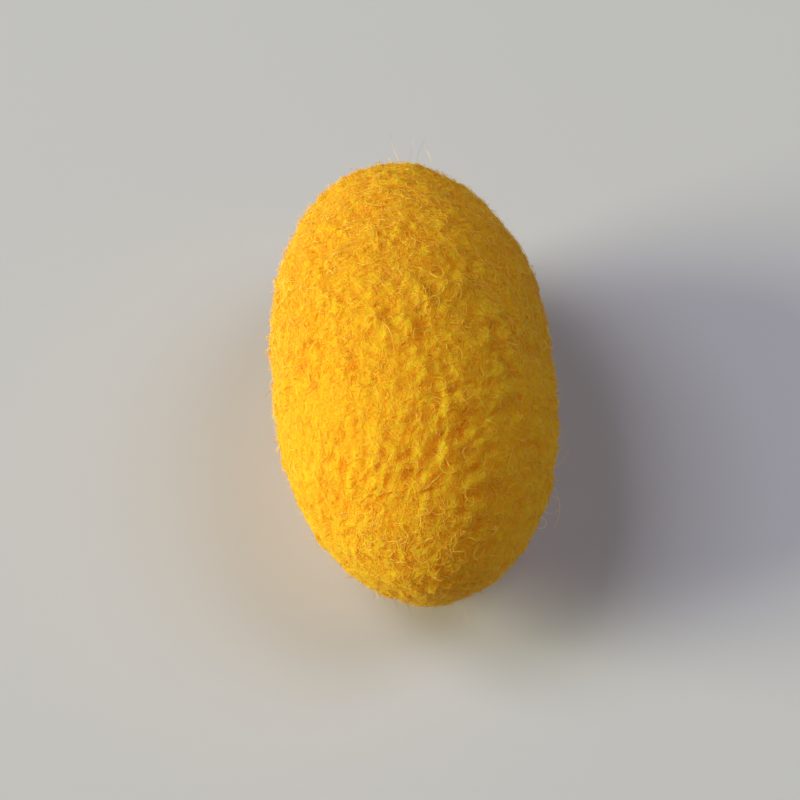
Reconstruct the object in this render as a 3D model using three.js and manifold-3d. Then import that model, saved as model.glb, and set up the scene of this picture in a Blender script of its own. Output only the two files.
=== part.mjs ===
// A silkworm's cocoon: one closed, egg-like shell of felted silk, lying on its side.
//
// Units are millimetres and +Z is up. +Y runs along the cocoon to its far end. The origin is
// on the surface that the cocoon rests on, straight below its middle.

import * as THREE from "three";
import { mergeVertices } from "three/addons/utils/BufferGeometryUtils.js";
import Module from "manifold-3d";

// Overall form
const WIDTH = 17.2; // across the waist
const LENGTH = 32.1; // from tip to tip
const SHOULDER_POWER = 2.39; // 2 is an ellipse, and more keeps the sides full for longer
const TIP_POWER = 1.8; // 2 is an ellipse, and less draws the tips in a little
const FAR_END_TAPER = 0.012; // share by which the far half is slimmer and the near half fuller
const FLAT_SPOT_DEPTH = 0.25; // how far the underside is pressed flat where it rests

const RADIUS = WIDTH / 2;
const HALF_LENGTH = LENGTH / 2;
const AXIS_HEIGHT = RADIUS - FLAT_SPOT_DEPTH;

// Relief of the surface, as bands of waves of one size each
const SWELL = { wavelength: 13, height: 0.09, seed: 3 };
const WRINKLES = { wavelength: 2.0, height: 0.055, seeds: [21, 24, 27] };
const PATCHES = { wavelength: 5, share: 0.35, seed: 1658 };
const WARPS = { wavelength: 3, shift: 0.12, seeds: [71, 72, 73] };
const STRETCH_ALONG = 1.3; // wrinkles are this much longer along the cocoon than around it
const SPIN_CURVE = 0.0035; // radians of turn about the axis per square millimetre from its start
const SPIN_START = -4; // place along the axis where wrinkles run straight along it
const END_SMOOTHING = 0.45; // share by which wrinkles are lower at the very ends
const BILLOW_SCALE = 1.2; // brings the average height of the highest of three waves to 1
const LEAST_STRENGTH = 0.2; // wrinkles' height in the smoothest patches, as a share of the usual
const MOST_STRENGTH = 2;
const WAVES_PER_BAND = 90;
const WAVELENGTH_SPREAD = 0.5; // wavelengths of one band differ by up to this share

// Fineness of the solid: the icosahedron's edges are divided into this many parts, less one
const DETAIL = 20;

const SILK = { color: 0xe8a812, roughness: 0.85, metalness: 0 };

// Turns and steps that never line up, from the golden ratio and the plastic number
const GOLDEN_STEP = (Math.sqrt(5) - 1) / 2;
const PLASTIC_STEP = 0.7548776662466927;

const fraction = (value) => value - Math.floor(value);

/**
 * Plane waves of about one wavelength, spread evenly over every direction. Longer waves are
 * higher, so that all of them are equally steep.
 */
function waveBand({ wavelength, seed }) {
  const waves = [];
  for (let i = 0; i < WAVES_PER_BAND; i++) {
    const up = 1 - (i + 0.5) / WAVES_PER_BAND;
    const across = Math.sqrt(1 - up * up);
    const turn = 2 * Math.PI * fraction(GOLDEN_STEP * (i + seed));
    const spread = WAVELENGTH_SPREAD * (2 * fraction(PLASTIC_STEP * (i + seed)) - 1);
    const direction = new THREE.Vector3(Math.cos(turn) * across, Math.sin(turn) * across, up);
    waves.push({
      vector: direction.multiplyScalar((2 * Math.PI) / (wavelength * (1 + spread))),
      phase: 2 * Math.PI * fraction(GOLDEN_STEP * i * i + PLASTIC_STEP * seed),
      height: (1 + spread) * Math.sqrt(2 / WAVES_PER_BAND),
    });
  }
  return waves;
}

/** Sum of a band's waves at a point: about -2 to 2, and 1 in its typical size. */
function waveSum(waves, point) {
  const heights = waves.map((wave) => wave.height * Math.cos(wave.vector.dot(point) + wave.phase));
  return heights.reduce((sum, height) => sum + height, 0);
}

/** One set of waves for each of a relief's seeds. */
const bandsOf = ({ wavelength, seeds }) => seeds.map((seed) => waveBand({ wavelength, seed }));

const swellWaves = waveBand(SWELL);
const wrinkleWaves = bandsOf(WRINKLES);
const patchWaves = waveBand(PATCHES);
const warpWaves = bandsOf(WARPS);

/** A point moved so that wrinkles are longer along the cocoon, and bow to one side at its ends. */
function drawnOut(point) {
  const turn = SPIN_CURVE * (point.y - SPIN_START) ** 2;
  const x = point.x * Math.cos(turn) + point.z * Math.sin(turn);
  const z = point.z * Math.cos(turn) - point.x * Math.sin(turn);
  return new THREE.Vector3(x, point.y / STRETCH_ALONG, z);
}

/** A point moved about a little, so that wrinkles wander and crowd. */
function warped(point) {
  const [shiftX, shiftY, shiftZ] = warpWaves.map((waves) => WARPS.shift * waveSum(waves, point));
  return new THREE.Vector3(point.x + shiftX, point.y + shiftY, point.z + shiftZ);
}

/** Round lumps that meet in creases, near 0 on average: the highest of several sets of waves. */
function lumps(sets, point) {
  return BILLOW_SCALE * Math.max(...sets.map((waves) => waveSum(waves, point))) - 1;
}

/** Height of the surface over the plain form, in millimetres, at a point of that form. */
function relief(point) {
  const lump = lumps(wrinkleWaves, warped(drawnOut(point)));
  const patch = 1 + PATCHES.share * waveSum(patchWaves, point);
  const endward = 1 - END_SMOOTHING * (point.y / HALF_LENGTH) ** 4;
  const strength = THREE.MathUtils.clamp(patch, LEAST_STRENGTH, MOST_STRENGTH) * endward;
  return SWELL.height * waveSum(swellWaves, point) + WRINKLES.height * strength * lump;
}

/** Point of the plain form in a direction, measured from the middle of the axis. */
function formPoint(direction) {
  const along = direction.y;
  const around = Math.hypot(direction.x, direction.z);
  const fullness = 1 - Math.abs(along) ** SHOULDER_POWER;
  const radius = RADIUS * Math.max(fullness, 0) ** (1 / TIP_POWER) * (1 - FAR_END_TAPER * along);
  const sideways = around > 0 ? radius / around : 0;
  return new THREE.Vector3(direction.x * sideways, HALF_LENGTH * along, direction.z * sideways);
}

/** Outward normal of the plain form at a point of it. */
function formNormal(point) {
  const around = Math.hypot(point.x, point.z);
  const along = point.y / HALF_LENGTH;
  const outward = (TIP_POWER * (around / RADIUS) ** (TIP_POWER - 1)) / RADIUS;
  const endward = (SHOULDER_POWER * Math.abs(along) ** (SHOULDER_POWER - 1)) / HALF_LENGTH;
  const sideways = around > 0 ? outward / around : 0;
  return new THREE.Vector3(
    point.x * sideways,
    endward * Math.sign(along),
    point.z * sideways,
  ).normalize();
}

/** The whole wrinkled form, before its underside is pressed flat. */
function roundCocoon() {
  const geometry = new THREE.IcosahedronGeometry(1, DETAIL);
  const positions = geometry.attributes.position;
  const direction = new THREE.Vector3();
  for (let i = 0; i < positions.count; i++) {
    direction.fromBufferAttribute(positions, i).normalize();
    const point = formPoint(direction);
    point.addScaledVector(formNormal(point), relief(point));
    positions.setXYZ(i, point.x, point.y, point.z + AXIS_HEIGHT);
  }
  return geometry;
}

/** Block of ground whose top is the resting surface. */
function groundBlock() {
  const depth = 4;
  return new THREE.BoxGeometry(2 * WIDTH, 2 * LENGTH, depth).translate(0, 0, -depth / 2);
}

/** Closed solid of a geometry, for cutting. */
function solidOf(wasm, geometry) {
  const bare = geometry.clone();
  bare.deleteAttribute("normal");
  bare.deleteAttribute("uv");
  const merged = mergeVertices(bare);
  return new wasm.Manifold(
    new wasm.Mesh({
      numProp: 3,
      vertProperties: new Float32Array(merged.attributes.position.array),
      triVerts: new Uint32Array(merged.index.array),
    }),
  );
}

/** Geometry of a solid. */
function geometryOf(solid) {
  const { vertProperties, triVerts } = solid.getMesh();
  const geometry = new THREE.BufferGeometry();
  geometry.setAttribute("position", new THREE.BufferAttribute(vertProperties, 3));
  geometry.setIndex(new THREE.BufferAttribute(triVerts, 1));
  geometry.computeVertexNormals();
  return geometry;
}

function makeCocoon(wasm) {
  const flattened = solidOf(wasm, roundCocoon()).subtract(solidOf(wasm, groundBlock()));
  const cocoon = new THREE.Mesh(geometryOf(flattened), new THREE.MeshStandardMaterial(SILK));
  cocoon.name = "cocoon";
  return cocoon;
}

const wasm = await Module();
wasm.setup();

const model = new THREE.Group();
model.add(makeCocoon(wasm));

export default model;
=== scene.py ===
"""A silkworm's cocoon on its side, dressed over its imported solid: wrinkled felt, fine floss and strays."""
import math

import bpy
import numpy as np
from mathutils import Matrix, Vector


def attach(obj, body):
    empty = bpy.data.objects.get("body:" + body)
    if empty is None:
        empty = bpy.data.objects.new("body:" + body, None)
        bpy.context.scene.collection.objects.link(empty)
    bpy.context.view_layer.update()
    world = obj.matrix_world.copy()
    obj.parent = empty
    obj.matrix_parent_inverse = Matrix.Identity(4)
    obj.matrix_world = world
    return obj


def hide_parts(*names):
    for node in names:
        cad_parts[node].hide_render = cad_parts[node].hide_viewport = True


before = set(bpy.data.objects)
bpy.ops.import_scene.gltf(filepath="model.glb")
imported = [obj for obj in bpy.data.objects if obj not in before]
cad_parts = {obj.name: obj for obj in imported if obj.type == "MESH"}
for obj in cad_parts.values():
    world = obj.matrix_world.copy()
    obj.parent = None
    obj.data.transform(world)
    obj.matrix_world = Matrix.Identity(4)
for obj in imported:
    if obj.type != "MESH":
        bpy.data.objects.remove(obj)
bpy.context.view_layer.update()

MM = 0.001  # the sizes below are in millimetres, and Blender's are in metres

# Overall form, as in the solid
WIDTH = 17.2
LENGTH = 32.1
SHOULDER_POWER = 2.39
TIP_POWER = 1.8
FAR_END_TAPER = 0.012
FLAT_SPOT_DEPTH = 0.25
RADIUS = WIDTH / 2
HALF_LENGTH = LENGTH / 2
AXIS_HEIGHT = RADIUS - FLAT_SPOT_DEPTH

# Relief, as bands of waves: the solid has swell, wrinkles, patches and warps, and the rest is too fine
SWELL = {"wavelength": 13, "height": 0.09, "seed": 3}
WRINKLES = {"wavelength": 2.0, "height": 0.055, "seed": 21}
PATCHES = {"wavelength": 5, "share": 0.35, "seed": 1658}
WARPS = {"wavelength": 3, "shift": 0.12, "seed": 71}
CRINKLES = {"wavelength": 1.1, "height": 0.048, "seed": 41}
PEBBLES = {"wavelength": 0.65, "height": 0.025, "seed": 57}
LEAST_STRENGTH = 0.2  # wrinkles' height in the smoothest patches, as a share of the usual
MOST_STRENGTH = 2
STRETCH_ALONG = 1.3  # wrinkles are this much longer along the cocoon than around it
SPIN_CURVE = 0.0035  # radians of turn about the axis per square millimetre from its start
SPIN_START = -4  # place along the axis where wrinkles run straight along it
END_SMOOTHING = 0.45  # share by which the wrinkles are lower at the very ends
BILLOWS = 3  # sets of waves whose crests meet in creases
BILLOW_SCALE = 1.2  # brings the billows' average height to 1
WAVES_PER_BAND = 90
WAVELENGTH_SPREAD = 0.5  # wavelengths of one band differ by up to this share
GOLDEN_STEP = (math.sqrt(5) - 1) / 2
PLASTIC_STEP = 0.7548776662466927
TINY = 1e-9  # keeps a length that is divided by from being 0

# Fineness of the felted body: a cube's grid, rounded
CELLS_AROUND = 104  # across one side of the cube, so a quarter of the way round
CELLS_ALONG = 176
CHART_HEIGHT = 0.6  # share of the unwrapped square that the four long sides take, with the ends above
CHART_MARGIN = 0.01
# How hollow the felt is sets the painted shade of its valleys
HOLLOW_RANGE = 0.3  # millimetres of fine relief from a valley, which is 1 hollow, up to a lump, which is 0
HOLLOW_MIDDLE = 0.4  # how hollow the felt is where its fine relief is 0

# Floss: fine silk fibres lying over the felt. Each layer is one mesh.
FIBRE_SIDES = 3
FIBRE_FLATNESS = 0.4  # height over width of a fibre's section
TIP_WIDTH = 0.35  # width at a fibre's tips, as a share of its middle's
TAPER_POWER = 0.5  # 1 thins a fibre evenly towards its tips, and less keeps its width for longer
CELL_MARGIN = 0.15  # bare share on each side of a fibre's cell in the unwrapped square
CAP_OVERHANG = 0.1  # how far a tip's cap reaches past its tube in that cell
LENGTH_SPREAD = 0.35  # typical difference between fibres' lengths, as a share
RADIUS_SPREAD = 0.2
ROOT_DEPTH = 0.02  # how deep a fibre starts in the felt
LEAST_RISE = 0.03  # how much even the flattest fibre rises
ARCH_POWER = 0.8  # 1 is half a wave from root to tip, and less is a squarer arch
SMALLEST_ROOT_HEIGHT = 0.7  # no fibre starts lower over the resting surface than this
TALLEST_LIFT = 3  # no fibre rises more than this many times its layer's lift
# In each layer, a fibre has this many points and usually this length, radius and lift over the felt. It
# wanders by this many radians a step, and it is drawn taut from crest to crest by this share. Its tip stands
# free, or comes back to the felt. Its colour is between the two colours.
FLOSS_LAYERS = {
    "floss_deep": {
        "count": 14000, "points": 3, "length": 0.45, "radius": 0.024, "lift": 0.015, "free_tips": False,
        "taut": 0, "wander": 0.7, "seed": 1, "colours": ((0.89, 0.39, 0.004), (0.90, 0.45, 0.006)),
    },
    "floss_golden": {
        "count": 14000, "points": 3, "length": 0.50, "radius": 0.014, "lift": 0.12, "free_tips": True,
        "taut": 0.1, "wander": 0.6, "seed": 2, "colours": ((0.90, 0.45, 0.006), (0.93, 0.55, 0.015)),
    },
    "floss_pale": {
        "count": 9500, "points": 4, "length": 0.6, "radius": 0.026, "lift": 0.06, "free_tips": False,
        "taut": 0.2, "wander": 0.8, "seed": 3, "colours": ((0.90, 0.44, 0.006), (0.92, 0.52, 0.012)),
    },
    "floss_loose": {
        "count": 4500, "points": 7, "length": 1.1, "radius": 0.021, "lift": 0.10, "free_tips": False,
        "taut": 0.6, "wander": 0.6, "seed": 4, "colours": ((0.92, 0.51, 0.010), (0.95, 0.68, 0.050)),
    },
}

# Stray fibres that stand clear of the floss. Each is given by where it starts (mm along the cocoon, and
# degrees around it from +X towards +Z), its length, its heading (degrees from +Y, towards the way round),
# its lift out of the surface, how much heading and lift change along it, its radius, and its tint from golden
# (0) to pale (1). A loop's lift turns full circle. Angles are in degrees.
STRAY_SEED = 5
STRAY_POINTS = 16
STRAY_HAIRS = 420
STRAY_LOOPS = 90
STRAY_RADIUS = 0.010
STRAY_REACH = 0.97  # share of the half length within which they start
STRAY_AROUND = (-50, 230)  # they start between these degrees, so not on the underside
STRAY_RADIUS_SPREAD = 0.15
STRAY_TINTS = (0, 0.45)
HAIR_LENGTH_SPREAD = 0.25  # hairs are 1 mm long, with this typical difference
HAIR_BEND = 110  # typical change of a hair's heading along it, in degrees
HAIR_LIFTS = (5, 40)
HAIR_LIFT_CHANGE = 30
LOOP_LENGTHS = (0.9, 2.2)
LOOP_BEND = 40
LOOP_LIFT = -30
LOOP_LIFT_CHANGE = 390
STRAY_COLOURS = ((0.95, 0.54, 0.03), (0.98, 0.82, 0.45))
NAMED_STRAYS = (
    # along, around, length, heading, heading change, lift, lift change, radius, tint
    (-9.8, -15, 3.8, 39, 25, LOOP_LIFT, LOOP_LIFT_CHANGE, 0.020, 1.0),
    (-10.4, -18, 2.4, 215, -20, LOOP_LIFT, LOOP_LIFT_CHANGE, 0.020, 1.0),
    (-7.7, -8, 1.9, 38, 30, 45, -35, 0.016, 1.0),
    (-8.4, -10, 3.2, 190, 35, 55, -75, 0.016, 1.0),
    (13.2, 80, 2.2, 20, 80, 40, 50, 0.012, 0.3),
    (13.6, 66, 2.6, 0, -70, 35, 40, 0.012, 0.3),
    (13.9, 52, 2.0, -30, 60, 50, -20, 0.012, 0.3),
    (13.4, 74, 1.8, 300, 90, 60, 60, 0.012, 0.3),
)

# Matted fibres in the felt's own surface: curly lines, of one size of curl for each entry
THREAD_GRAINS = (0.9, 0.7, 0.8, 0.6)
THREAD_WIDTH = 0.035  # half a line's width, as a share of the noise that it follows

# Gloss. Roughness is 0 on a mirror and 1 where nothing shines, and glint is 0.5 on most materials.
FIBRE_ROUGHNESS = (0.6, 0.42)  # from the darkest fibre to the palest
FIBRE_GLINT = 0.3
FELT_ROUGHNESS = (0.62, 0.88)  # it differs from spot to spot
FELT_GLINT = 0.15
FLOOR_ROUGHNESS = 0.9
FLOOR_GLINT = 0.1

# Colours and grain of the felt, with painted shade that makes its valleys darker and more orange
LUMP_COLOUR = (0.91, 0.465, 0.005)
# Painted shade: the felt's colour deep in its valleys, darker and more orange than on the lumps
VALLEY_SHADE_COLOUR = (0.90, 0.40, 0.003)
MOTTLE_COLOUR = (1.0, 0.95, 0.9)  # the silk's colour is multiplied by this in its darker spots
WHITE = (1.0, 1.0, 1.0)
THREAD_COLOUR = (0.94, 0.62, 0.03, 1)
THREAD_COLOUR_SHARE = 0.2  # how far the felt goes towards that colour where a matted fibre runs
THREAD_HEIGHT = 0.03
SHEEN_COLOUR = (1.0, 0.62, 0.08, 1)
SHEEN_STRENGTH = 0.25
SHEEN_ROUGHNESS = 0.45
SCATTER_SHARE = 0.7  # share of the light that goes into the silk and comes out elsewhere
SCATTER_COLOUR = (1.0, 0.02, 0.005)  # how far red, green and blue spread, as shares of the distance
SCATTER_DISTANCE = 6  # how far red light spreads inside the silk
MOTTLE_GRAIN = 0.9
GLOSS_GRAIN = 0.4
FELT_GRAIN = 0.2
FELT_GRAIN_HEIGHT = 0.06

# Camera: it looks along +Y and down, and the cocoon lies a little off the picture's centre
CAMERA_ELEVATION = math.radians(51)
CAMERA_DISTANCE = 173.0
CAMERA_ROLL = math.radians(7.05)  # the far end leans to the left
PICTURE_PIXELS = 800
FOCAL_PIXELS = 2800
SENSOR_WIDTH = 36
COCOON_RIGHT_OF_CENTRE = 0.73
COCOON_ABOVE_CENTRE = 1.55

# Lights and floor. The key light is straight to the left.
KEY_ELEVATION = math.radians(20)
KEY_DISTANCE = 2000
KEY_SIZE = 1100
KEY_POWER = 45.0
PANEL_SIZE = 300
LEFT_PANEL_POWER = 1.45
LEFT_PANEL_OFFSET = (-300, 60, 450)
RIGHT_PANEL_POWER = 0.89
RIGHT_PANEL_OFFSET = (300, 0, 450)
WARM_LIGHT = (0.98, 1.0, 0.72)
COOL_LIGHT = (0.85, 0.865, 1.0)
AMBIENT_STRENGTH = 0.02
BACKDROP_STRENGTH = 0.5  # the far background, as the camera sees it
BACKDROP_COLOUR = (0.97, 0.97, 1.0, 1)
FLOOR_HALF = 700  # half a side
FLOOR_COLOUR = (0.590, 0.578, 0.570, 1)


def fraction(value):
    return value - np.floor(value)


def wave_band(band):
    """Plane waves of about one wavelength, spread evenly over every direction: (vectors, phases, heights).

    Longer waves are higher, so that all of them are equally steep."""
    i = np.arange(WAVES_PER_BAND)
    up = 1 - (i + 0.5) / WAVES_PER_BAND
    across = np.sqrt(1 - up * up)
    turn = 2 * np.pi * fraction(GOLDEN_STEP * (i + band["seed"]))
    spread = WAVELENGTH_SPREAD * (2 * fraction(PLASTIC_STEP * (i + band["seed"])) - 1)
    direction = np.stack([np.cos(turn) * across, np.sin(turn) * across, up], axis=1)
    vectors = direction * (2 * np.pi / (band["wavelength"] * (1 + spread)))[:, None]
    phases = 2 * np.pi * fraction(GOLDEN_STEP * i * i + PLASTIC_STEP * band["seed"])
    heights = (1 + spread) * math.sqrt(2 / WAVES_PER_BAND)
    return vectors, phases, heights


def wave_sum(band, points):
    """Sum of a band's waves at each point: about -2 to 2, and 1 in its typical size."""
    vectors, phases, heights = wave_band(band)
    return np.cos(points @ vectors.T + phases) @ heights


def lumps(band, points):
    """Round lumps that meet in creases, near 0 on average."""
    parts = [{**band, "seed": band["seed"] + 3 * part} for part in range(BILLOWS)]
    return BILLOW_SCALE * np.maximum.reduce([wave_sum(part, points) for part in parts]) - 1


def warped(points):
    """Points moved about a little, so that wrinkles wander and crowd."""
    bands = [{**WARPS, "seed": WARPS["seed"] + axis} for axis in range(3)]
    return points + WARPS["shift"] * np.stack([wave_sum(band, points) for band in bands], axis=1)


def drawn_out_points(points):
    """Points moved so that wrinkles are longer along the cocoon, and bow to one side towards its ends."""
    turn = SPIN_CURVE * (points[:, 1] - SPIN_START) ** 2
    x = points[:, 0] * np.cos(turn) + points[:, 2] * np.sin(turn)
    z = points[:, 2] * np.cos(turn) - points[:, 0] * np.sin(turn)
    return np.stack([x, points[:, 1] / STRETCH_ALONG, z], axis=1)


def relief(points):
    """(height over the plain form in mm, the fine part of it) at points of that form."""
    drawn_out = warped(drawn_out_points(points))
    patch = 1 + PATCHES["share"] * wave_sum(PATCHES, points)
    strength = np.clip(patch, LEAST_STRENGTH, MOST_STRENGTH)
    strength = strength * (1 - END_SMOOTHING * (points[:, 1] / HALF_LENGTH) ** 4)
    fine = WRINKLES["height"] * strength * lumps(WRINKLES, drawn_out)
    fine = fine + CRINKLES["height"] * strength * lumps(CRINKLES, drawn_out)
    fine = fine + PEBBLES["height"] * lumps(PEBBLES, points)
    return SWELL["height"] * wave_sum(SWELL, points) + fine, fine


def form_radius(along):
    """Radius of the plain form at places along it, from -1 at the near tip to 1 at the far one."""
    fullness = np.maximum(1 - np.abs(along) ** SHOULDER_POWER, 0)
    return RADIUS * fullness ** (1 / TIP_POWER) * (1 - FAR_END_TAPER * along)


def form_points(directions):
    """Points of the plain form in unit directions from the middle of the axis."""
    along = directions[:, 1]
    around = np.hypot(directions[:, 0], directions[:, 2])
    sideways = form_radius(along) / np.maximum(around, TINY)
    return np.stack([directions[:, 0] * sideways, HALF_LENGTH * along, directions[:, 2] * sideways], axis=1)


def form_gradients(points):
    """Gradient of the form's equation at points near it: its direction is the outward normal."""
    around = np.maximum(np.hypot(points[:, 0], points[:, 2]), TINY)
    along = points[:, 1] / HALF_LENGTH
    outward = TIP_POWER * (around / RADIUS) ** (TIP_POWER - 1) / RADIUS
    endward = SHOULDER_POWER * np.abs(along) ** (SHOULDER_POWER - 1) / HALF_LENGTH
    sideways = outward / around
    return np.stack([points[:, 0] * sideways, endward * np.sign(along), points[:, 2] * sideways], axis=1)


def unit(vectors):
    return vectors / np.maximum(np.linalg.norm(vectors, axis=-1, keepdims=True), TINY)


def grid_faces(rows, columns):
    """Quads of a grid of rows by columns points."""
    corner = (np.arange(rows - 1)[:, None] * columns + np.arange(columns - 1)).ravel()
    return np.stack([corner, corner + 1, corner + columns + 1, corner + columns], axis=1)


def chart(side, rows, columns):
    """Places in the unwrapped square of one side's points: sides 0 to 3 are long, and 4 and 5 are ends."""
    row, column = np.divmod(np.arange(rows * columns), columns)
    across = CHART_MARGIN + (1 - 2 * CHART_MARGIN) * column / (columns - 1)
    up = CHART_MARGIN + (1 - 2 * CHART_MARGIN) * row / (rows - 1)
    if side < 4:
        return np.stack([(side + across) / 4, up * CHART_HEIGHT], axis=1)
    size = 1 - CHART_HEIGHT
    return np.stack([(side - 4 + across * 2 * size) / 2, CHART_HEIGHT + up * size], axis=1)


def cube_patches():
    """The six sides of a rounded cube: (unit directions, quads, unwrapped places) for each."""
    across = np.tan(np.linspace(-1, 1, CELLS_AROUND + 1) * math.pi / 4)
    along = np.tan(np.linspace(-1, 1, CELLS_ALONG + 1) * math.pi / 4)
    patches = []
    for quarter in range(4):
        turn = quarter * math.pi / 2
        y, a = np.meshgrid(along, across, indexing="ij")
        x = math.cos(turn) - a * math.sin(turn)
        z = math.sin(turn) + a * math.cos(turn)
        directions = np.stack([x, y, z], axis=-1).reshape(-1, 3)
        faces = grid_faces(len(along), len(across))[:, ::-1]
        patches.append((unit(directions), faces, chart(quarter, len(along), len(across))))
    for side, end in ((4, 1), (5, -1)):
        z, x = np.meshgrid(across, across, indexing="ij")
        directions = np.stack([x, np.full_like(x, end), z], axis=-1).reshape(-1, 3)
        faces = grid_faces(len(across), len(across))
        faces = faces[:, ::-1] if end > 0 else faces
        patches.append((unit(directions), faces, chart(side, len(across), len(across))))
    return patches


def mesh_object(name, points_mm, faces, smooth=True):
    """New object from points in millimetres and an array of faces that all have as many corners."""
    mesh = bpy.data.meshes.new(name)
    mesh.vertices.add(len(points_mm))
    mesh.vertices.foreach_set("co", (points_mm * MM).astype(np.float32).ravel())
    corners = faces.shape[1]
    mesh.loops.add(faces.size)
    mesh.loops.foreach_set("vertex_index", faces.astype(np.int32).ravel())
    mesh.polygons.add(len(faces))
    mesh.polygons.foreach_set("loop_start", np.arange(0, faces.size, corners, dtype=np.int32))
    mesh.polygons.foreach_set("use_smooth", np.full(len(faces), smooth))
    mesh.update(calc_edges=True)
    mesh.validate()
    thing = bpy.data.objects.new(name, mesh)
    bpy.context.scene.collection.objects.link(thing)
    return thing


def unwrap(thing, places):
    """Gives every corner of an object's faces its place in the square that textures are baked to."""
    layer = thing.data.uv_layers.new(name="OFBake")
    layer.data.foreach_set("uv", places.astype(np.float32).ravel())


def make_body():
    """(the felted case with all its wrinkles, flat where it rests; its plain form's points; its faces)"""
    directions = []
    faces = []
    places = []
    start = 0
    for patch_directions, patch_faces, patch_places in cube_patches():
        directions.append(patch_directions)
        faces.append(patch_faces + start)
        places.append(patch_places[patch_faces])
        start += len(patch_directions)
    directions = np.concatenate(directions)
    faces = np.concatenate(faces)
    # Neighbouring sides share the points of their common edge
    rounded = np.round(directions, 7)
    _, first, same = np.unique(rounded, axis=0, return_index=True, return_inverse=True)
    directions = directions[first]
    faces = same.reshape(-1)[faces]
    plain = form_points(directions)
    height, fine = relief(plain)
    points = plain + unit(form_gradients(plain)) * height[:, None]
    points[:, 2] = np.maximum(points[:, 2] + AXIS_HEIGHT, 0)
    body = mesh_object("cocoon_felt", points, faces)
    unwrap(body, np.concatenate(places))
    # How deep the felt lies in its fine relief, which the silk's colour uses for painted shade in the valleys
    hollow = body.data.attributes.new("hollow", "FLOAT", "POINT")
    depth = np.clip(HOLLOW_MIDDLE - fine / HOLLOW_RANGE, 0, 1)
    hollow.data.foreach_set("value", depth.astype(np.float32))
    return body, plain, faces


def project_to_form(points):
    """Moves points near the plain form onto it, in two steps, which leave next to no error."""
    for _ in range(2):
        around = np.hypot(points[:, 0], points[:, 2]) / RADIUS
        along = np.abs(points[:, 1]) / HALF_LENGTH
        excess = along ** SHOULDER_POWER + around ** TIP_POWER - 1
        gradient = form_gradients(points)
        points = points - gradient * (excess / (gradient ** 2).sum(axis=1))[:, None]
    return points


def lay_paths(starts, lengths, layer, draw):
    """Curved paths over the plain form, as (fibre, point, xyz)."""
    steps = layer["points"] - 1
    step = (lengths / steps)[:, None]
    wander = layer["wander"]
    points = project_to_form(starts)
    normals = unit(form_gradients(points))
    headings = unit(np.cross(normals, draw.normal(size=points.shape)))
    steady_bend = draw.normal(0, wander, len(points))
    path = [points]
    for _ in range(steps):
        points = project_to_form(points + headings * step)
        normals = unit(form_gradients(points))
        bend = (steady_bend + draw.normal(0, wander / 2, len(points)))[:, None]
        headings = headings * np.cos(bend) + np.cross(normals, headings) * np.sin(bend)
        headings = unit(headings - normals * (headings * normals).sum(axis=1, keepdims=True))
        path.append(points)
    return np.stack(path, axis=1)


def bridged(heights):
    """Heights along each fibre, drawn taut from crest to crest."""
    padded = np.pad(heights, ((0, 0), (1, 1)), mode="edge")
    crest = np.maximum(np.maximum(padded[:, :-2], padded[:, 2:]), heights)
    padded = np.pad(crest, ((0, 0), (1, 1)), mode="edge")
    return (padded[:, :-2] + 2 * crest + padded[:, 2:]) / 4


def tube_faces(points, sides):
    """Triangles of one closed tube with that many rings, and where each of their corners lies on it.

    The second array has, for each corner, its share of the length and its share of the way round."""
    faces = []
    places = []
    for ring in range(points - 1):
        for side in range(sides):
            near = ring * sides + side
            near_next = ring * sides + (side + 1) % sides
            low, high = ring / (points - 1), (ring + 1) / (points - 1)
            left, right = side / sides, (side + 1) / sides
            faces += [(near, near_next, near_next + sides), (near, near_next + sides, near + sides)]
            places += [((low, left), (low, right), (high, right)), ((low, left), (high, right), (high, left))]
    last = (points - 1) * sides
    for corner in range(1, sides - 1):
        faces += [(0, corner + 1, corner), (last, last + corner, last + corner + 1)]
        places += [((0, 0), (0, 1), (-CAP_OVERHANG, 0.5)), ((1, 0), (1, 1), (1 + CAP_OVERHANG, 0.5))]
    return np.array(faces), np.array(places)


def tubes(name, paths, normals, radii, tints):
    """One mesh of closed tapering tubes along paths of (fibre, point, xyz), unwrapped cell by cell."""
    count, points, _ = paths.shape
    tangents = unit(np.gradient(paths, axis=1))
    normals = unit(normals - tangents * (normals * tangents).sum(axis=2, keepdims=True))
    sideways = np.cross(tangents, normals)
    share = np.linspace(0, 1, points)
    taper = TIP_WIDTH + (1 - TIP_WIDTH) * np.sin(math.pi * share) ** TAPER_POWER
    angles = 2 * math.pi * np.arange(FIBRE_SIDES) / FIBRE_SIDES + math.pi / 2
    rise = np.sin(angles)[:, None] * FIBRE_FLATNESS
    spoke = normals[:, :, None] * rise + sideways[:, :, None] * np.cos(angles)[:, None]
    rings = paths[:, :, None] + spoke * (radii[:, None] * taper)[:, :, None, None]
    faces, places = tube_faces(points, FIBRE_SIDES)
    starts = np.arange(count)[:, None, None] * points * FIBRE_SIDES
    thing = mesh_object(name, rings.reshape(-1, 3), (faces[None] + starts).reshape(-1, 3), smooth=False)
    cells = math.ceil(math.sqrt(count))
    cell = np.stack([np.arange(count) % cells, np.arange(count) // cells], axis=1)
    inside = CELL_MARGIN + (1 - 2 * CELL_MARGIN) * places
    unwrapped = (cell[:, None, None] + inside[None]) / cells
    unwrap(thing, unwrapped)
    tint = thing.data.attributes.new("tint", "FLOAT", "POINT")
    tint.data.foreach_set("value", np.repeat(tints, points * FIBRE_SIDES).astype(np.float32))
    return thing


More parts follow.
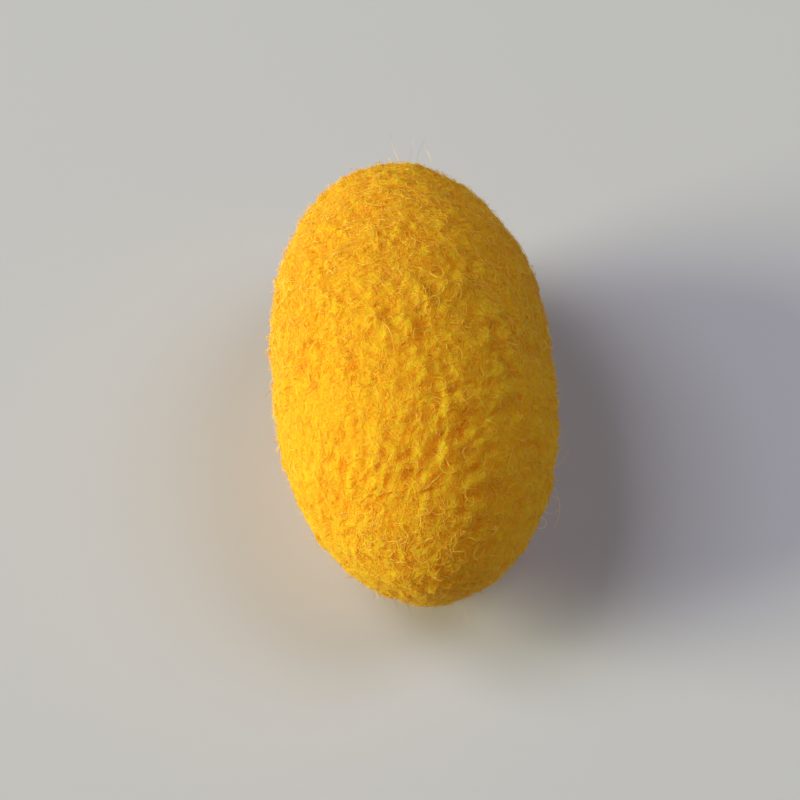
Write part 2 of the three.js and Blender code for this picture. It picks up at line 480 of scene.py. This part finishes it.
def make_floss(name, layer, plain_points, felt_faces):
    """One layer of fibres strewn evenly over the felt, from the plain form's points and the felt's faces."""
    draw = np.random.default_rng(layer["seed"])
    corners = plain_points[felt_faces]
    areas = np.linalg.norm(np.cross(corners[:, 2] - corners[:, 0], corners[:, 3] - corners[:, 1]), axis=1)
    areas[corners[:, :, 2].mean(axis=1) < SMALLEST_ROOT_HEIGHT - AXIS_HEIGHT] = 0
    chosen = draw.choice(len(areas), layer["count"], p=areas / areas.sum())
    starts = corners[chosen].mean(axis=1)
    lengths = layer["length"] * np.exp(draw.normal(0, LENGTH_SPREAD, layer["count"]))
    paths = lay_paths(starts, lengths, layer, draw)
    flat = paths.reshape(-1, 3)
    normals = unit(form_gradients(flat)).reshape(paths.shape)
    heights = relief(flat)[0].reshape(paths.shape[:2])
    heights = heights + layer["taut"] * (bridged(heights) - heights)
    lifts = np.minimum(draw.exponential(1, layer["count"]), TALLEST_LIFT)[:, None] * layer["lift"]
    share = np.linspace(0, 1, layer["points"])
    rise = share if layer["free_tips"] else np.sin(math.pi * share) ** ARCH_POWER
    heights = heights + (lifts + LEAST_RISE) * rise - ROOT_DEPTH
    paths = paths + normals * heights[:, :, None]
    radii = layer["radius"] * np.exp(draw.normal(0, RADIUS_SPREAD, layer["count"]))
    paths[:, :, 2] = np.maximum(paths[:, :, 2] + AXIS_HEIGHT, 2 * layer["radius"])
    return tubes(name, paths, normals, radii, draw.random(layer["count"]))


def random_strays(draw):
    """Hairs and loops all over the cocoon, as rows like those of NAMED_STRAYS."""
    count = STRAY_HAIRS + STRAY_LOOPS
    loops = np.arange(count) >= STRAY_HAIRS
    along = draw.uniform(-STRAY_REACH, STRAY_REACH, count) * HALF_LENGTH
    around = draw.uniform(*STRAY_AROUND, count)
    loop_length = draw.uniform(*LOOP_LENGTHS, count)
    length = np.where(loops, loop_length, np.exp(draw.normal(0, HAIR_LENGTH_SPREAD, count)))
    heading = draw.uniform(0, 360, count)
    loop_bend = draw.normal(0, LOOP_BEND, count)
    heading_change = np.where(loops, loop_bend, draw.normal(0, HAIR_BEND, count))
    lift = np.where(loops, LOOP_LIFT, draw.uniform(*HAIR_LIFTS, count))
    lift_change = np.where(loops, LOOP_LIFT_CHANGE, draw.normal(0, HAIR_LIFT_CHANGE, count))
    radius = STRAY_RADIUS * np.exp(draw.normal(0, STRAY_RADIUS_SPREAD, count))
    tint = draw.uniform(*STRAY_TINTS, count)
    return np.stack([along, around, length, heading, heading_change, lift, lift_change, radius, tint], axis=1)


def make_strays():
    """The single fibres that stand clear of the floss."""
    draw = np.random.default_rng(STRAY_SEED)
    rows = np.concatenate([np.array(NAMED_STRAYS, float), random_strays(draw)])
    along, around, length, heading, heading_change, lift, lift_change, stray_radius, tint = rows.T
    around, heading, heading_change, lift, lift_change = np.radians(
        [around, heading, heading_change, lift, lift_change]
    )
    radius = form_radius(along / HALF_LENGTH)
    roots = np.stack([radius * np.cos(around), along, radius * np.sin(around)], axis=1)
    normals = unit(form_gradients(roots))
    way_round = np.stack([-np.sin(around), np.zeros_like(around), np.cos(around)], axis=1)
    lengthways = np.cross(way_round, normals)
    lengthways = lengthways * np.sign(lengthways[:, 1:2])
    steps = (np.arange(STRAY_POINTS - 1) + 0.5) / (STRAY_POINTS - 1)
    headings = (heading[:, None] + heading_change[:, None] * steps)[:, :, None]
    lifts = (lift[:, None] + lift_change[:, None] * steps)[:, :, None]
    level = lengthways[:, None] * np.cos(headings) + way_round[:, None] * np.sin(headings)
    directions = level * np.cos(lifts) + normals[:, None] * np.sin(lifts)
    travelled = np.cumsum(directions * (length / (STRAY_POINTS - 1))[:, None, None], axis=1)
    travelled = np.concatenate([np.zeros((len(rows), 1, 3)), travelled], axis=1)
    paths = roots[:, None] + travelled
    paths[:, :, 2] = np.maximum(paths[:, :, 2] + AXIS_HEIGHT, 2 * STRAY_RADIUS)
    sides = np.cross(level, directions)
    sides = np.concatenate([sides[:, :1], sides], axis=1)
    return tubes("floss_strays", paths, sides, stray_radius, tint)


def new_material(name):
    """(material, its nodes, its links, its shader's inputs)"""
    material = bpy.data.materials.new(name)
    material.use_nodes = True
    nodes = material.node_tree.nodes
    return material, nodes, material.node_tree.links, nodes["Principled BSDF"].inputs


def mesh_value(nodes, name):
    """A value that the mesh has for each of its points."""
    node = nodes.new("ShaderNodeAttribute")
    node.attribute_name = name
    return node.outputs["Fac"]


def noise(nodes, links, grain, detail, seed=0):
    """Noise texture in the object's own space, with grains of about that size in millimetres."""
    place = nodes.new("ShaderNodeTexCoord")
    texture = nodes.new("ShaderNodeTexNoise")
    texture.noise_dimensions = "4D"
    texture.inputs["W"].default_value = seed
    texture.inputs["Scale"].default_value = 1 / (grain * MM)
    texture.inputs["Detail"].default_value = detail
    links.new(place.outputs["Object"], texture.inputs["Vector"])
    return texture.outputs["Fac"]


def ramp(nodes, links, factor, *stops):
    """Colour ramp over a factor, from (position, colour) stops."""
    node = nodes.new("ShaderNodeValToRGB")
    elements = node.color_ramp.elements
    for element, (position, colour) in zip(elements, stops):
        element.position = position
        element.color = (*colour, 1)
    links.new(factor, node.inputs["Fac"])
    return node.outputs["Color"]


def spread_over(nodes, links, factor, low, high):
    """A number between two others, as a factor goes from 0 to 1."""
    node = nodes.new("ShaderNodeMapRange")
    node.inputs["To Min"].default_value = low
    node.inputs["To Max"].default_value = high
    links.new(factor, node.inputs["Value"])
    return node.outputs["Result"]


def math_node(nodes, links, operation, *values):
    """Result of a Math node, where each value is a number or another node's output."""
    node = nodes.new("ShaderNodeMath")
    node.operation = operation
    for socket, value in zip(node.inputs, values):
        if isinstance(value, (int, float)):
            socket.default_value = value
        else:
            links.new(value, socket)
    return node.outputs["Value"]


def threads(nodes, links, grain, seed):
    """Thin curly lines, as of matted fibres: 1 along a line and 0 away from it."""
    curls = noise(nodes, links, grain, detail=1, seed=seed)
    offset = math_node(nodes, links, "SUBTRACT", curls, 0.5)
    distance = math_node(nodes, links, "ABSOLUTE", offset)
    line = nodes.new("ShaderNodeMapRange")
    line.interpolation_type = "SMOOTHSTEP"
    line.inputs["From Max"].default_value = THREAD_WIDTH
    line.inputs["To Min"].default_value = 1
    line.inputs["To Max"].default_value = 0
    links.new(distance, line.inputs["Value"])
    return line.outputs["Result"]


def matted_threads(nodes, links):
    """The lines of every grain together: 1 where any of them runs."""
    lines = [threads(nodes, links, grain, seed) for seed, grain in enumerate(THREAD_GRAINS)]
    result = lines[0]
    for line in lines[1:]:
        result = math_node(nodes, links, "MAXIMUM", result, line)
    return result


def mixed(nodes, links, low, high, blend_type="MIX", factor=None):
    """Mix of two colours, which are outputs or colours, by a factor that is an output, or in full."""
    node = nodes.new("ShaderNodeMix")
    node.data_type = "RGBA"
    node.blend_type = blend_type
    node.inputs["Factor"].default_value = 1.0
    if factor:
        links.new(factor, node.inputs["Factor"])
    for socket, colour in (("A", low), ("B", high)):
        if isinstance(colour, tuple):
            node.inputs[socket].default_value = colour
        else:
            links.new(colour, node.inputs[socket])
    return node.outputs["Result"]


def bumped(nodes, links, height, distance, normal=None):
    """Normal raised by a height, which is that many millimetres where it is 1."""
    bump = nodes.new("ShaderNodeBump")
    bump.inputs["Distance"].default_value = distance * MM
    links.new(height, bump.inputs["Height"])
    if normal:
        links.new(normal, bump.inputs["Normal"])
    return bump.outputs["Normal"]


def floss_material(name, dark, light):
    """One layer's silk: each fibre has its own tint between two colours."""
    material, nodes, links, shader = new_material(name + "_silk")
    shader["Specular IOR Level"].default_value = FIBRE_GLINT
    tint = mesh_value(nodes, "tint")
    links.new(ramp(nodes, links, tint, (0.0, dark), (1.0, light)), shader["Base Color"])
    links.new(spread_over(nodes, links, tint, *FIBRE_ROUGHNESS), shader["Roughness"])
    return material


def silk_material():
    """Golden felted silk: yellow on the lumps, with painted shade that makes the valleys darker and more
    orange, and a fine matted grain.
    """
    material, nodes, links, shader = new_material("felted_silk")
    shader["Subsurface Weight"].default_value = SCATTER_SHARE
    shader["Subsurface Radius"].default_value = SCATTER_COLOUR
    shader["Subsurface Scale"].default_value = SCATTER_DISTANCE * MM
    shader["Sheen Weight"].default_value = SHEEN_STRENGTH
    shader["Sheen Roughness"].default_value = SHEEN_ROUGHNESS
    shader["Sheen Tint"].default_value = SHEEN_COLOUR
    shader["Specular IOR Level"].default_value = FELT_GLINT
    gloss = noise(nodes, links, GLOSS_GRAIN, detail=3)
    links.new(spread_over(nodes, links, gloss, *FELT_ROUGHNESS), shader["Roughness"])
    # Painted shade: the deeper the felt lies in its fine relief, the darker and more orange its colour
    hollow = mesh_value(nodes, "hollow")
    valley_shaded_colour = ramp(nodes, links, hollow, (0.2, LUMP_COLOUR), (0.8, VALLEY_SHADE_COLOUR))
    spots = noise(nodes, links, MOTTLE_GRAIN, detail=4)
    mottle_colour = ramp(nodes, links, spots, (0.35, MOTTLE_COLOUR), (0.65, WHITE))
    mottled = mixed(nodes, links, valley_shaded_colour, mottle_colour, "MULTIPLY")
    matted = matted_threads(nodes, links)
    thread_share = spread_over(nodes, links, matted, 0, THREAD_COLOUR_SHARE)
    links.new(mixed(nodes, links, mottled, THREAD_COLOUR, factor=thread_share), shader["Base Color"])
    grain = noise(nodes, links, FELT_GRAIN, detail=3)
    grained = bumped(nodes, links, grain, FELT_GRAIN_HEIGHT)
    links.new(bumped(nodes, links, matted, THREAD_HEIGHT, grained), shader["Normal"])
    return material


def view_sides(forward, roll):
    """(right, up) of a view, turned about its line of sight."""
    right = forward.cross(Vector((0, 0, 1))).normalized()
    up = right.cross(forward)
    return right * math.cos(roll) - up * math.sin(roll), up * math.cos(roll) + right * math.sin(roll)


def look_at(thing, eye, target, roll=0.0):
    """Points a camera or light at a place, both in millimetres, turned about its own line of sight."""
    forward = (target - eye).normalized()
    right, up = view_sides(forward, roll)
    turn = Matrix((right, up, -forward)).transposed()
    thing.matrix_world = Matrix.Translation(eye * MM) @ turn.to_4x4()


def make_camera():
    """The camera of the main view, which has the cocoon a little off its centre."""
    forward = Vector((0, math.cos(CAMERA_ELEVATION), -math.sin(CAMERA_ELEVATION)))
    centre = Vector((0, 0, AXIS_HEIGHT))
    eye = centre - forward * CAMERA_DISTANCE
    right, up = view_sides(forward, CAMERA_ROLL)
    target = centre - right * COCOON_RIGHT_OF_CENTRE - up * COCOON_ABOVE_CENTRE
    data = bpy.data.cameras.new("camera")
    data.sensor_width = SENSOR_WIDTH
    data.lens = SENSOR_WIDTH * FOCAL_PIXELS / PICTURE_PIXELS
    data.clip_start = 0.01
    data.clip_end = 20
    camera = bpy.data.objects.new("camera", data)
    bpy.context.scene.collection.objects.link(camera)
    look_at(camera, eye, target, CAMERA_ROLL)
    bpy.context.scene.camera = camera


def make_floor():
    """A plain, pale, square floor under the cocoon."""
    corners = np.array([[-1, -1, 0], [1, -1, 0], [1, 1, 0], [-1, 1, 0]]) * FLOOR_HALF
    floor = mesh_object("floor", corners, np.array([[0, 1, 2, 3]]))
    material, _, _, shader = new_material("pale_floor")
    shader["Base Color"].default_value = FLOOR_COLOUR
    shader["Roughness"].default_value = FLOOR_ROUGHNESS
    shader["Specular IOR Level"].default_value = FLOOR_GLINT
    floor.data.materials.append(material)


def area_light(name, shape, size, energy, colour, offset):
    """Area light of a size in millimetres, at an offset from the cocoon's middle and facing it."""
    data = bpy.data.lights.new(name, "AREA")
    data.shape = shape
    data.size = size * MM
    data.energy = energy
    data.color = colour
    light = bpy.data.objects.new(name, data)
    bpy.context.scene.collection.objects.link(light)
    middle = Vector((0, 0, AXIS_HEIGHT))
    look_at(light, middle + Vector(offset), middle)


def make_lights():
    """A warm, low key light from the left, two cool panels above, and a pale backdrop."""
    key_offset = (-math.cos(KEY_ELEVATION) * KEY_DISTANCE, 0, math.sin(KEY_ELEVATION) * KEY_DISTANCE)
    area_light("key", "DISK", KEY_SIZE, KEY_POWER, WARM_LIGHT, key_offset)
    area_light("left_panel", "SQUARE", PANEL_SIZE, LEFT_PANEL_POWER, COOL_LIGHT, LEFT_PANEL_OFFSET)
    area_light("right_panel", "SQUARE", PANEL_SIZE, RIGHT_PANEL_POWER, COOL_LIGHT, RIGHT_PANEL_OFFSET)
    world = bpy.data.worlds.new("studio")
    bpy.context.scene.world = world
    world.use_nodes = True
    nodes = world.node_tree.nodes
    links = world.node_tree.links
    background = nodes["Background"].inputs
    background["Color"].default_value = BACKDROP_COLOUR
    seen = nodes.new("ShaderNodeLightPath").outputs["Is Camera Ray"]
    strength = spread_over(nodes, links, seen, AMBIENT_STRENGTH, BACKDROP_STRENGTH)
    links.new(strength, background["Strength"])


def dress(piece, material):
    """Gives a piece its material, and has it move with the cocoon."""
    piece.data.materials.append(material)
    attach(piece, "root")


bpy.context.scene.view_settings.view_transform = "Standard"
make_camera()
make_floor()
make_lights()

body, plain_points, felt_faces = make_body()
dress(body, silk_material())
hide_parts("cocoon")
for floss_name, floss_layer in FLOSS_LAYERS.items():
    floss = make_floss(floss_name, floss_layer, plain_points, felt_faces)
    dress(floss, floss_material(floss_name, *floss_layer["colours"]))
dress(make_strays(), floss_material("floss_strays", *STRAY_COLOURS))
